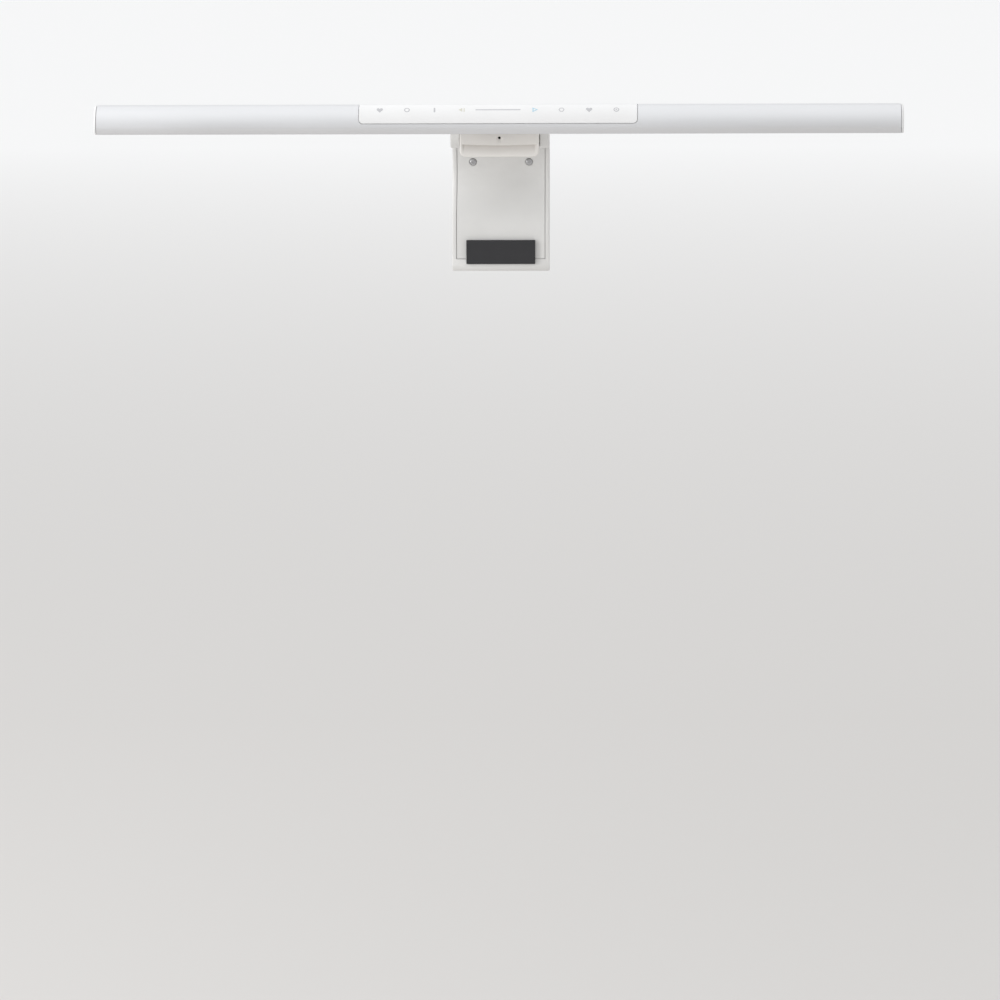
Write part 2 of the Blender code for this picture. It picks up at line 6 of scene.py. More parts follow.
import bmesh
import bpy
from mathutils import Euler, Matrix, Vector


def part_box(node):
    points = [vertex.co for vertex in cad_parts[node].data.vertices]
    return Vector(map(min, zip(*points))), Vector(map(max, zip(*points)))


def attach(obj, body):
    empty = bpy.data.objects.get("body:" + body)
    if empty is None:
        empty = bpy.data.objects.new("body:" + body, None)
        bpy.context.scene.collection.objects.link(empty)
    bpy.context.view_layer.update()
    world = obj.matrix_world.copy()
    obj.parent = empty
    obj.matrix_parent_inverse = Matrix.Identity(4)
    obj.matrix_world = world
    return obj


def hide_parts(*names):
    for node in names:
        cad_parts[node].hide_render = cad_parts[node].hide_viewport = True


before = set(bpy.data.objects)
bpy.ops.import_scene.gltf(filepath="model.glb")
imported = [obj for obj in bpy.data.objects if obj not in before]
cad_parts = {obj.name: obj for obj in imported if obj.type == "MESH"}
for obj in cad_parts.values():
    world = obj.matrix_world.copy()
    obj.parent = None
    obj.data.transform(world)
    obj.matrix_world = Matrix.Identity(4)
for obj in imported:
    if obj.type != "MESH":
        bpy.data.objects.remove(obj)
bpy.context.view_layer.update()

MM = 0.001


def span_of(node):
    """A CAD node's lowest and highest corner in millimetres."""
    low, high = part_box(node)
    return [c / MM for c in low], [c / MM for c in high]


HOUSING_LOW, HOUSING_HIGH = span_of("lamp_housing")
PANEL_LOW, PANEL_HIGH = span_of("touch_panel")
PLATE_LOW, PLATE_HIGH = span_of("clamp_front_plate")
CAP_HIGH = span_of("end_cap_right")[1]
ARM_LOW, ARM_HIGH = span_of("arm_shell")
PAD_HIGH = span_of("arm_pad")[1]

# The bar's section: an elliptical front, a nearly flat top and a round rear corner
NOSE = (HOUSING_LOW[1] + 10.0, 17.1)        # middle of the elliptical front
NOSE_RADII = (10.0, HOUSING_HIGH[2] - NOSE[1])
REAR_RADIUS = 6.0
REAR_TOP = HOUSING_HIGH[2] - 0.4            # the top falls a little towards the back
FOOT_RADIUS = 2.0
LIP_Y = HOUSING_LOW[1] + 1.7
WALL = 1.4
SLOT = (HOUSING_LOW[1] + 5.0, HOUSING_LOW[1] + 19.0)
COVER_GAP = 0.3                             # room round the rear cover

# End caps: how far each ring is drawn in, and how far out along the bar it lies
CAP_RINGS = [(0.15, 0.3), (0.0, 0.42), (0.0, 0.85), (0.1, 1.15), (0.35, 1.4)]

# The touch panel, the groove round it, and its prints
PANEL_PROUD = 0.3               # how far the panel stands out from the bar's section
PANEL_SKIN = 0.9                # depth of the skin's inner face under the bar's section
PANEL_FLANGE = (1.0, 1.35)      # depths of the flange's faces under the bar's section
FLANGE_REACH = 1.2              # how far the flange runs past the panel's ends
PANEL_CORNER = 2.5
GROOVE = 0.5
SKIN_BACK = (PANEL_HIGH[2] - 0.45, 29.3)  # upper and lower face of the skin at its back
FLANGE_BACK = (29.55, 29.27)    # and of the flange
OVERRUN = 1.0                   # how far a blank runs past the place where it is cut
BEFORE_BAR = -62.0              # a plane in front of the whole bar
ABOVE_BAR = 40.0                # and one over it
ICON_ANGLE = radians(129.0)     # place of the row of icons on the ellipse
ICON_X = (22.7, 39.2, 56.2, 73.0)  # the icons' distances from the middle
PRINT_LIFT = 0.04               # a print's top over the skin
PRINT_ROOT = -0.1               # and its buried side

# The clamp's front plate, with a crease and a shallow dish under it
PLATE_CORNER = 3.5
PLATE_RIM = 1.0                 # radius of the plate's front edge
PLATE_COLUMNS, PLATE_ROWS = 150, 96
CROWDING = 0.45 * pi            # how strongly the columns crowd towards the sides
CREASE_Z = 4.3
CREASE_BOW = 0.7                # how far the crease sags in the middle
DISH_DEPTH = 1.35
DISH_RIM = 1.0
DISH_SLOPE = 2.0                # width of the slope from the side rims down to the dish
DISH_BEND = 1.8                 # how sharply the dish deepens towards the crease
CREASE_PAINTED_SHADE = (0.79, 0.775, 0.765)  # painted shade: the plastic's colour darkened just under the crease
DISH_FADE = 5.5                 # height over which that painted shade fades out
DISH_SIDES = (2.5, 1.2)         # distances from the plate's sides between which the painted shade fades out
PORT_Z = 7.2                    # height of the sensor's port
PORT_MOUTH = (2.3, -15.0)       # radius and Y of the funnel's wide end
PORT_THROAT = (0.8, -13.6)      # and of its narrow end
PORT_END = -12.5                # Y of the port's bottom
PORT_RISE = 1.1                 # how much higher the narrow end lies

# The arm's middle line and thickness, as shares of its length from the pivot to the foot
PIVOT = (4.0, 10.0)
FOOT_HALF = 6.0
FOOT_END = 5.0                  # height of the foot's round end
FOOT = (PAD_HIGH[1] + 0.3 + FOOT_HALF, ARM_LOW[2] + 5.0)
FOOT_LENGTH = 16.0
ARM_HALF = 4.9                  # half the arm's thickness behind the monitor
ARM_SWELL = 1.6                 # how much thicker each half is at the pivot
ARM_START = 0.14                # where the plain band starts, past the ears
ARM_WALL = 1.8
CHANNEL = (0.22, 0.975)         # the hollow's two ends along the arm
CHANNEL_HALF = 28.4             # half the hollow's width
COVER = 1.5                     # the inner cover's thickness
COVER_HALF = 28.1
COVER_END_GAP = 0.0025
COVER_SCREW = (18.0, -10.0)     # X to each side, and Z
POCKET_RADIUS = 8.4             # room for the clamp's knuckle between the ears
POCKET_TURN = 69.1              # half the angle that its round part spans
EAR_INNER = 25.5                # half the distance between the ears
EAR_CORNERS = [((1.5, 7.7), 6.5, 270, 180), ((1.0, 12.6), 6.0, 180, 90)]  # centre, radius, angles
EAR_UNDER = 8.8                 # radius of the ears' underside round the pivot

# Round holes and bosses: radius, and the two places along their axis
PIN_HOLES = [(2.3, 24.0, 33.0), (4.9, 30.0, 33.0)]  # the arm's pin and its cap
BOSS = (2.4, 43.0, 49.0)        # for a screw of the inner cover
BOSS_HOLE = (1.2, 42.0, 47.4)
COVER_HOLES = [(1.3, 34.0, 44.0), (2.5, 34.0, 39.9)]  # the screw and its sunk head

# Floor, camera and light
DESK_Z = -0.47                  # a desk's top under a monitor of this size
FLOOR_HALF = 80.0
CAMERA_AT = Vector((0.050, -2.462, 0.147))
CAMERA_TILT = radians(90.0 - 8.558)
CAMERA_TURN = radians(1.179)
CAMERA_ROLL = radians(-0.2)
LENS_MM = 140.09
FRONT_LIGHT = 0.61              # brightness of the surroundings level with the viewer
HIGH_LIGHT = 1.09               # brightness overhead
BACK_SHARE = 0.35               # how far the back's brightness goes from the first to the second
SIDE_FALL = 0.27                # how much dimmer the right side is than the middle
SKY_COLOUR = (0.99, 0.995, 1.0)
NEAR_FLOOR_PAINTED_SHADE = (0.63, 0.615, 0.60)  # painted shade: the floor's colour, darkened under and before the object
FAR_FLOOR_PAINTED_LIGHT = (0.95, 0.95, 0.95)    # and painted light: paler well behind it
FLOOR_BLEND = (0.5, 8.0)          # distances behind the object between which it changes
LAMPS = [
    # name, place, size, watts
    ("left_high_light", (-1.3, -0.5, 0.9), 0.9, 4.0),
    ("left_low_light", (-1.4, -1.2, 0.2), 0.45, 6.0),
]


# ---------------------------------------------------------------- outlines

def arc(centre, radii, start, stop, steps):
    """Points on an ellipse between two angles in degrees."""
    angles = [radians(start + (stop - start) * i / steps) for i in range(steps + 1)]
    return [(centre[0] + radii[0] * cos(a), centre[1] + radii[1] * sin(a)) for a in angles]


def bezier(p0, p1, p2, p3, steps):
    """Points on a cubic curve, both ends included."""
    points = []
    for i in range(steps + 1):
        t = i / steps
        u = 1.0 - t
        weights = (u ** 3, 3 * u * u * t, 3 * u * t * t, t ** 3)
        points.append(tuple(sum(w * p[k] for w, p in zip(weights, (p0, p1, p2, p3)))
                            for k in (0, 1)))
    return points


def rounded_rect(low, high, radius, steps=6):
    """A rectangle between two corners, with round corners."""
    left, right = low[0] + radius, high[0] - radius
    bottom, top = low[1] + radius, high[1] - radius
    corners = (((right, top), 0), ((left, top), 90), ((left, bottom), 180), ((right, bottom), 270))
    points = []
    for centre, start in corners:
        points += arc(centre, (radius, radius), start, start + 90, steps)
    return points


def bar_shell(inset):
    """The bar's section from its lower front corner, over the top, to its lower rear corner."""
    front = HOUSING_LOW[1] + inset
    base = HOUSING_LOW[2] + inset
    lip = LIP_Y + inset * 0.8
    band = bezier((lip, base), (lip - 0.7, base + 1.0), (front, base + 2.6), (front, NOSE[1]), 10)
    nose = arc(NOSE, (NOSE_RADII[0] - inset, NOSE_RADII[1] - inset), 180, 90, 48)
    back = arc((HOUSING_HIGH[1] - REAR_RADIUS, REAR_TOP - REAR_RADIUS),
               (REAR_RADIUS - inset, REAR_RADIUS - inset), 90, 0, 16)
    foot = arc((HOUSING_HIGH[1] - FOOT_RADIUS, HOUSING_LOW[2] + FOOT_RADIUS),
               (FOOT_RADIUS - inset, FOOT_RADIUS - inset), 0, -90, 6)
    return band + nose[1:] + back + foot


# ---------------------------------------------------------------- meshes

def add_piece(name, mesh, body, material, replaced=()):
    """Make an object from a mesh in millimetres and hand it to the frame."""
    data = bpy.data.meshes.new(name)
    mesh.to_mesh(data)
    mesh.free()
    made = bpy.data.objects.new(name, data)
    bpy.context.scene.collection.objects.link(made)
    data.materials.append(material)
    data.shade_smooth()
    data.set_sharp_from_angle(angle=radians(32))
    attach(made, body)
    if replaced:
        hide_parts(*replaced)
    return made


def bridge(mesh, first, second, closed=True):
    """Quads between two rows of vertices."""
    count = len(first)
    for i in range(count if closed else count - 1):
        j = (i + 1) % count
        mesh.faces.new((first[i], first[j], second[j], second[i]))


def prism(axis, outline, low, high):
    """Extrude an outline along X or Y.  For Y the outline is (x, z)."""
    place = {"X": lambda p, d: (d, p[0], p[1]), "Y": lambda p, d: (p[0], d, p[1])}[axis]
    mesh = bmesh.new()
    face = mesh.faces.new([mesh.verts.new([c * MM for c in place(p, low)]) for p in outline])
    pushed = bmesh.ops.extrude_face_region(mesh, geom=[face])["geom"]
    moved = [v for v in pushed if isinstance(v, bmesh.types.BMVert)]
    travel = [(b - a) * MM for a, b in zip(place((0, 0), low), place((0, 0), high))]
    bmesh.ops.translate(mesh, verts=moved, vec=travel)
    bmesh.ops.recalc_face_normals(mesh, faces=mesh.faces)
    return mesh


def turned(axis, centre, profile, steps=48):
    """Turn (radius, distance) points round an axis into a closed solid."""
    place = {"X": lambda r, a, d: (d, centre[0] + r * cos(a), centre[1] + r * sin(a)),
             "Y": lambda r, a, d: (centre[0] + r * cos(a), d, centre[1] + r * sin(a))}[axis]
    mesh = bmesh.new()
    rings = []
    for radius, along in profile:
        angles = [2 * pi * i / steps for i in range(steps)]
        rings.append([mesh.verts.new([c * MM for c in place(radius, a, along)]) for a in angles])
    for low, high in zip(rings, rings[1:]):
        bridge(mesh, low, high)
    mesh.faces.new(rings[0])
    mesh.faces.new(rings[-1])
    bmesh.ops.recalc_face_normals(mesh, faces=mesh.faces)
    return mesh


def boolean(target, mesh, operation="DIFFERENCE"):
    """Cut a mesh out of a target, or keep what they share, and apply it."""
    data = bpy.data.meshes.new("cutter")
    mesh.to_mesh(data)
    mesh.free()
    cutter = bpy.data.objects.new("cutter", data)
    bpy.context.scene.collection.objects.link(cutter)
    step = target.modifiers.new("cut", "BOOLEAN")
    step.operation = operation
    step.solver = "EXACT"
    step.object = cutter
    apply_modifiers(target)
    bpy.data.objects.remove(cutter, do_unlink=True)


def apply_modifiers(target):
    """Turn the evaluated mesh into the object's own."""
    evaluated = target.evaluated_get(bpy.context.evaluated_depsgraph_get())
    data = bpy.data.meshes.new_from_object(evaluated)
    target.modifiers.clear()
    target.data = data


def soften(target, width, angle=40, segments=3):
    """Round the edges sharper than an angle, then shade smooth."""
    step = target.modifiers.new("soft edges", "BEVEL")
    step.width = width * MM
    step.segments = segments
    step.limit_method = "ANGLE"
    step.angle_limit = radians(angle)
    step.harden_normals = True
    target.data.shade_smooth()
    target.data.set_sharp_from_angle(angle=radians(angle))


def refined(node, body, material, width=0.25, angle=40):
    """A CAD node's shape with its flat facets merged and its edges rounded."""
    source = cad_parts[node]
    mesh = bmesh.new()
    mesh.from_mesh(source.data)
    mesh.transform(source.matrix_world)
    bmesh.ops.remove_doubles(mesh, verts=mesh.verts, dist=0.002 * MM)
    bmesh.ops.dissolve_limit(mesh, angle_limit=radians(1.0), verts=mesh.verts, edges=mesh.edges)
    made = add_piece(f"{node}_fine", mesh, body, material, [node])
    soften(made, width, angle)
    return made


# ---------------------------------------------------------------- materials

def new_material(name, colour, roughness, metallic=0.0, **sockets):
    """A Principled material with its uniform values on its own sockets."""
    made = bpy.data.materials.new(name)
    made.use_nodes = True
    shader = made.node_tree.nodes["Principled BSDF"]
    shader.inputs["Base Color"].default_value = (*colour, 1.0)
    shader.inputs["Roughness"].default_value = roughness
    shader.inputs["Metallic"].default_value = metallic
    for key, value in sockets.items():
        shader.inputs[key.replace("_", " ")].default_value = value
    return made


def node(tree, kind, **values):
    """A shader node with some of its sockets set."""
    made = tree.nodes.new(kind)
    for key, value in values.items():
        made.inputs[key.replace("_", " ")].default_value = value
    return made


def calculate(tree, operation, first, second):
    """A math node on two values, each a socket or a number."""
    made = tree.nodes.new("ShaderNodeMath")
    made.operation = operation
    for socket, value in zip(made.inputs, (first, second)):
        if isinstance(value, float):
            socket.default_value = value
        else:
            tree.links.new(value, socket)
    return made.outputs["Value"]


def axes(tree, output):
    """Separate X, Y and Z sockets of a texture coordinate."""
    source = tree.nodes.new("ShaderNodeTexCoord")
    split = tree.nodes.new("ShaderNodeSeparateXYZ")
    tree.links.new(source.outputs[output], split.inputs["Vector"])
    return split.outputs


def remap(tree, value, **ends):
    """A value taken from one range to another, kept inside it."""
    made = node(tree, "ShaderNodeMapRange", **ends)
    tree.links.new(value, made.inputs["Value"])
    return made.outputs["Result"]


def coordinates(tree, stretch):
    """Object coordinates scaled along each axis."""
    source = tree.nodes.new("ShaderNodeTexCoord")
    mapping = tree.nodes.new("ShaderNodeMapping")
    mapping.inputs["Scale"].default_value = stretch
    tree.links.new(source.outputs["Object"], mapping.inputs["Vector"])
    return mapping.outputs["Vector"]


def vary(material, scale, stretch, spread, low, high, colours=None):
    """Let slow noise vary roughness between low and high and, if given, the colour."""
    tree = material.node_tree
    shader = tree.nodes["Principled BSDF"]
    noise = node(tree, "ShaderNodeTexNoise", Scale=scale, Detail=4.0, Roughness=0.55)
    tree.links.new(coordinates(tree, stretch), noise.inputs["Vector"])
    sheen = remap(tree, noise.outputs["Fac"], From_Min=0.5 - spread, From_Max=0.5 + spread,
                  To_Min=low, To_Max=high)
    tree.links.new(sheen, shader.inputs["Roughness"])
    if colours:
        ramp = tree.nodes.new("ShaderNodeValToRGB")
        ramp.color_ramp.elements[0].position = 0.5 - spread
        ramp.color_ramp.elements[1].position = 0.5 + spread
        ramp.color_ramp.elements[0].color = (*colours[0], 1.0)
        ramp.color_ramp.elements[1].color = (*colours[1], 1.0)
        tree.links.new(noise.outputs["Fac"], ramp.inputs["Fac"])
        tree.links.new(ramp.outputs["Color"], shader.inputs["Base Color"])


def grain(material, layers):
    """Stack bumps of (noise scale, stretch, strength, depth in millimetres)."""
    tree = material.node_tree
    normal = None
    for scale, stretch, strength, depth in layers:
        noise = node(tree, "ShaderNodeTexNoise", Scale=scale, Detail=3.0, Roughness=0.6)
        tree.links.new(coordinates(tree, stretch), noise.inputs["Vector"])
        bump = node(tree, "ShaderNodeBump", Strength=strength, Distance=depth * MM)
        tree.links.new(noise.outputs["Fac"], bump.inputs["Height"])
        if normal:
            tree.links.new(normal, bump.inputs["Normal"])
        normal = bump.outputs["Normal"]
    tree.links.new(normal, tree.nodes["Principled BSDF"].inputs["Normal"])


EVEN = (1.0, 1.0, 1.0)
ALONG_BAR = (0.02, 1.0, 1.0)


def anodised(name, colour):
    """Bead-blasted, clear anodised aluminium with faint extrusion lines."""
    made = new_material(name, colour, 0.4, 0.9)
    tint = tuple(c * 0.965 for c in colour)
    vary(made, 60.0, (0.15, 1.0, 1.0), 0.18, 0.42, 0.50, (tint, colour))
    grain(made, [(9000.0, EVEN, 0.25, 0.02), (900.0, ALONG_BAR, 0.06, 0.01)])
    return made


def moulded(name, colour, roughness, texture=0.25):
    """Moulded plastic with a fine spark-eroded texture and slow changes in sheen."""
    made = new_material(name, colour, roughness, 0.0, IOR=1.47)
    tint = tuple(c * 0.97 for c in colour)
    vary(made, 45.0, EVEN, 0.2, roughness - 0.05, roughness + 0.06, (tint, colour))
    grain(made, [(5200.0, EVEN, texture, 0.02), (300.0, EVEN, 0.05, 0.02)])
    return made


def metal(name, colour, roughness, stretch=EVEN):
    """Plated, turned or pressed metal with fine lines along its stretch."""
    made = new_material(name, colour, roughness, 1.0)
    tint = tuple(c * 0.88 for c in colour)
    vary(made, 250.0, stretch, 0.22, roughness - 0.08, roughness + 0.1, (tint, colour))
    grain(made, [(2500.0, stretch, 0.15, 0.02)])
    return made


def circuit():
    """Solder mask with the faint relief of tracks under it."""
    made = new_material("solder_mask", (0.02, 0.12, 0.05), 0.35, 0.0, Coat_Weight=0.4)
    vary(made, 400.0, EVEN, 0.06, 0.28, 0.42, ((0.015, 0.09, 0.04), (0.03, 0.17, 0.07)))
    grain(made, [(700.0, EVEN, 0.4, 0.03)])
    return made


def opal():
    """Milky diffuser: white, soft and slightly translucent."""
    made = new_material("opal_diffuser", (0.88, 0.88, 0.86), 0.5, 0.0, Subsurface_Weight=0.3)
    shader = made.node_tree.nodes["Principled BSDF"]
    shader.inputs["Subsurface Radius"].default_value = (0.003, 0.003, 0.003)
    vary(made, 80.0, EVEN, 0.2, 0.45, 0.58)
    grain(made, [(4000.0, EVEN, 0.2, 0.02)])
    return made


SILVER = anodised("anodised_silver", (0.80, 0.805, 0.82))
CAP_SILVER = moulded("cap_silver", (0.88, 0.88, 0.88), 0.35, 0.1)
PANEL_WHITE = moulded("panel_white", (0.88, 0.88, 0.882), 0.35, 0.08)
CLAMP_COLOUR = (0.95, 0.925, 0.89)
BODY_PLASTIC = moulded("body_plastic", (0.84, 0.83, 0.81), 0.5)
ARM_PLASTIC = moulded("arm_plastic", (0.84, 0.835, 0.82), 0.42, 0.15)
SILICONE = moulded("dark_silicone", (0.035, 0.035, 0.038), 0.72, 0.4)
STEEL = metal("plated_steel", (0.60, 0.60, 0.61), 0.34)
ZINC = metal("cast_zinc", (0.40, 0.40, 0.41), 0.55)
RAIL = metal("mill_aluminium", (0.72, 0.73, 0.74), 0.4, ALONG_BAR)
FILM = metal("reflector_film", (0.88, 0.88, 0.88), 0.2)
BOARD = circuit()
WHITE_BOARD = moulded("white_board", (0.80, 0.80, 0.77), 0.4, 0.1)
ACETAL = moulded("natural_acetal", (0.72, 0.70, 0.64), 0.42, 0.1)
OPAL = opal()
LENS = moulded("smoked_lens", (0.012, 0.012, 0.014), 0.12, 0.02)
PRINT_GREY = moulded("print_grey", (0.56, 0.56, 0.58), 0.5, 0.1)
PRINT_FAINT = moulded("print_faint", (0.70, 0.69, 0.61), 0.5, 0.1)
PRINT_BLUE = moulded("print_blue", (0.42, 0.66, 0.79), 0.45, 0.1)


# ---------------------------------------------------------------- lamp

def panel_block(grow, low_z, front, rear):
    """The block with round lower corners that the panel and its opening share."""
    half = PANEL_HIGH[0] + grow
    radius = PANEL_CORNER + grow
    outline = arc((half - radius, low_z + radius), (radius, radius), 270, 360, 10)
    outline += [(half, ABOVE_BAR), (-half, ABOVE_BAR)]
    outline += arc((-half + radius, low_z + radius), (radius, radius), 180, 270, 10)
    return prism("Y", outline, front, rear)


def make_housing():
    """The slotted extrusion with crisp, slightly broken edges round its openings."""
    base = HOUSING_LOW[2]
    outline = [(SLOT[0], base)] + bar_shell(0.0) + [(SLOT[1], base), (SLOT[1], base + WALL)]
    outline += bar_shell(WALL)[::-1] + [(SLOT[0], base + WALL)]
    blank = prism("X", outline, HOUSING_LOW[0], HOUSING_HIGH[0])
    housing = add_piece("housing_extrusion", blank, "lamp", SILVER,
                        ["lamp_housing"])
    opening = panel_block(GROOVE, PANEL_LOW[2] - GROOVE, BEFORE_BAR, PANEL_HIGH[1] + GROOVE)
    boolean(housing, opening)
    low, high = span_of("rear_cover")
    opening = rounded_rect((low[0] - COVER_GAP, low[2] - COVER_GAP),
                           (high[0] + COVER_GAP, high[2] + COVER_GAP), 1.5)
    boolean(housing, prism("Y", opening, high[1] - 3.0, high[1] + 2.0))
    soften(housing, 0.12, 50, 2)


def nose_radii(depth):
    """The front ellipse's radii at a depth under the bar's section."""
    return NOSE_RADII[0] - depth, NOSE_RADII[1] - depth


def make_panel():
    """The white panel: a proud skin over a flange that runs under the edge of the opening."""
    rear = PANEL_HIGH[1]
    outline = arc(NOSE, nose_radii(-PANEL_PROUD), 172, 90, 56)
    outline += [(rear + OVERRUN, z) for z in SKIN_BACK]
    outline += arc(NOSE, nose_radii(PANEL_SKIN), 90, 170, 56)
    blank = prism("X", outline, PANEL_LOW[0] - OVERRUN, PANEL_HIGH[0] + OVERRUN)
    panel = add_piece("panel_skin", blank, "lamp", PANEL_WHITE, ["touch_panel"])
    boolean(panel, panel_block(0.0, PANEL_LOW[2], BEFORE_BAR, rear), "INTERSECT")
    soften(panel, 0.22, 45, 3)
    outline = arc(NOSE, nose_radii(PANEL_FLANGE[0]), 180, 90, 40)
    outline += [(rear, z) for z in FLANGE_BACK]
    outline += arc(NOSE, nose_radii(PANEL_FLANGE[1]), 90, 180, 40)
    blank = prism("X", outline, PANEL_LOW[0] - FLANGE_REACH, PANEL_HIGH[0] + FLANGE_REACH)
    add_piece("panel_flange", blank, "lamp", PANEL_WHITE)


def cap_outline(inset):
    """The bar's section drawn in towards its middle."""
    middle = [(HOUSING_LOW[k] + HOUSING_HIGH[k]) / 2 for k in (1, 2)]
    shares = [1.0 - 2 * inset / (HOUSING_HIGH[k] - HOUSING_LOW[k]) for k in (1, 2)]
    return [(middle[0] + (y - middle[0]) * shares[0], middle[1] + (z - middle[1]) * shares[1])
            for y, z in bar_shell(0.0)]


def make_caps():
    """End caps with the bar's section and a softly rounded outer edge."""
    depth = CAP_HIGH[0] - HOUSING_HIGH[0]
    rings = CAP_RINGS + [(0.75, depth - 0.05), (1.3, depth)]
    for word, side in (("left", -1), ("right", 1)):
        mesh = bmesh.new()
        loops = []
        for inset, out in rings:
            x = side * (HOUSING_HIGH[0] + out)
            loops.append([mesh.verts.new((x * MM, y * MM, z * MM)) for y, z in cap_outline(inset)])
        for first, second in zip(loops, loops[1:]):
            bridge(mesh, first, second)
        mesh.faces.new(loops[0])
        mesh.faces.new(loops[-1])
        bmesh.ops.recalc_face_normals(mesh, faces=mesh.faces)
        add_piece(f"cap_shell_{word}", mesh, "lamp", CAP_SILVER, [f"end_cap_{word}"])


# ---------------------------------------------------------------- prints on the panel

def panel_point(x, rise, lift):
    """A point on the panel's skin: x along the bar, rise up the curve from the row of icons."""
    proud = nose_radii(-PANEL_PROUD)
    angle = ICON_ANGLE - rise / hypot(proud[0] * sin(ICON_ANGLE), proud[1] * cos(ICON_ANGLE))
    normal = Vector((0.0, cos(angle) / proud[0], sin(angle) / proud[1])).normalized()
    place = Vector((x, NOSE[0] + proud[0] * cos(angle), NOSE[1] + proud[1] * sin(angle)))
    return (place + normal * lift) * MM


def dense(outline, step=0.3):
    """The outline with points no further apart than the step, so that a print follows the curve."""
    points = []
    for a, b in zip(outline, outline[1:] + outline[:1]):
        parts = max(1, round(hypot(b[0] - a[0], b[1] - a[1]) / step))
        points += [(a[0] + (b[0] - a[0]) * i / parts, a[1] + (b[1] - a[1]) * i / parts)
                   for i in range(parts)]
    return points


def decal(name, x0, outline, material, hole=0.0, rings=4):
    """A thin print at x0 on the panel: an outline round (0, 0), open inside the hole's share."""
    outline = dense(outline)
    mesh = bmesh.new()
    shares = [hole + (1.0 - hole) * i / rings for i in range(rings + 1)]
    top = [[mesh.verts.new(panel_point(x0 + x * s, z * s, PRINT_LIFT)) for x, z in outline]
           for s in shares if s > 0]
    under = [[mesh.verts.new(panel_point(x0 + x * s, z * s, PRINT_ROOT)) for x, z in outline]
             for s in shares if s > 0]
    for layer in (top, under):
        for first, second in zip(layer, layer[1:]):
            bridge(mesh, first, second)
        if not hole:
            mesh.faces.new(layer[0])
    bridge(mesh, top[-1], under[-1])
    if hole:
        bridge(mesh, top[0], under[0])
    bmesh.ops.recalc_face_normals(mesh, faces=mesh.faces)
    return add_piece(name, mesh, "lamp", material)


def ellipse(width, height, steps=40):
    """A closed ellipse round (0, 0)."""
    angles = [2 * pi * i / steps for i in range(steps)]
    return [(width * cos(a), height * sin(a)) for a in angles]


def bar_sign(half_width, half_height):
    """An upright or lying bar with round ends, round (0, 0)."""
    radius = min(half_width, half_height) - 0.01
    return rounded_rect((-half_width, -half_height), (half_width, half_height), radius, 4)


def heart(size, steps=40):
    """A plain heart, the usual sign for a favourite."""
    points = []
    for i in range(steps):
        t = 2 * pi * i / steps
        x = 16 * sin(t) ** 3
        z = 13 * cos(t) - 5 * cos(2 * t) - 2 * cos(3 * t) - cos(4 * t)
        points.append((x * size / 34, z * size / 34))
    return points


def make_prints():
    """Generic touch keys, a slider line and a blue start sign."""
    near, second, third, last = ICON_X
    ring = ellipse(1.75, 1.65)
    triangle = [(0.9, 1.5), (-1.5, 0.0), (0.9, -1.5)]
    start = [(-1.3, 1.8), (2.0, 0.0), (-1.3, -1.8)]
    decal("key_heart", -last, heart(4.2), PRINT_GREY)
    decal("key_ring_left", -third, ring, PRINT_GREY, 0.66, 2)
    decal("key_bar", -second, bar_sign(0.5, 1.8), PRINT_GREY)
    decal("key_triangle", -near - 0.2, triangle, PRINT_FAINT)
    decal("key_triangle_bar", -near + 1.8, bar_sign(0.3, 1.5), PRINT_FAINT)
    decal("slider_line", 0.0, bar_sign(13.9, 0.38), PRINT_GREY)
    decal("key_start", near - 0.1, start, PRINT_BLUE, 0.5, 2)
    decal("key_hexagon", second, ellipse(1.85, 1.75, 6), PRINT_GREY, 0.68, 2)
    decal("key_heart_right", third, heart(4.2), PRINT_GREY)
    decal("key_ring_right", last, ring, PRINT_GREY, 0.66, 2)
    decal("key_dot_right", last, ellipse(0.5, 0.5, 16), PRINT_GREY)


# ---------------------------------------------------------------- clamp

def sensor_port():
    """A slanted funnel: wide at the face, with its narrow end higher up."""
    mouth, throat = PORT_MOUTH, PORT_THROAT
    profile = [(mouth[0] + 0.3, mouth[1] - 0.3), mouth, throat, (throat[0], PORT_END)]
    mesh = turned("Y", (0.0, PORT_Z), profile)
    for vert in mesh.verts:
        share = min(1.0, max(0.0, (vert.co.y / MM - mouth[1]) / (throat[1] - mouth[1])))
        vert.co.z += PORT_RISE * share * MM
    return mesh


def plate_edge_distance(x, z):
    """Distance inside the plate's outline, whose lower corners are round."""
    half = PLATE_HIGH[0]
    side = half - abs(x)
    rise = z - PLATE_LOW[2]
    if side < PLATE_CORNER and rise < PLATE_CORNER:
        return PLATE_CORNER - hypot(PLATE_CORNER - side, PLATE_CORNER - rise)
    return min(side, rise)


def plate_face(x, z):
    """How far the plate's face lies behind its front-most plane at (x, z)."""
    inside = plate_edge_distance(x, z)
    back = 0.0
    if inside < PLATE_RIM:
        back = PLATE_RIM - sqrt(max(0.0, PLATE_RIM ** 2 - (PLATE_RIM - inside) ** 2))
    crease = CREASE_Z - CREASE_BOW * (1.0 - (x / PLATE_HIGH[0]) ** 2)
    if z < crease:
        edge = min(1.0, max(0.0, (inside - DISH_RIM) / DISH_SLOPE))
        climb = max(0.0, (z - PLATE_LOW[2]) / (crease - PLATE_LOW[2]))
        back += DISH_DEPTH * edge * edge * (3 - 2 * edge) * climb ** DISH_BEND
    return back


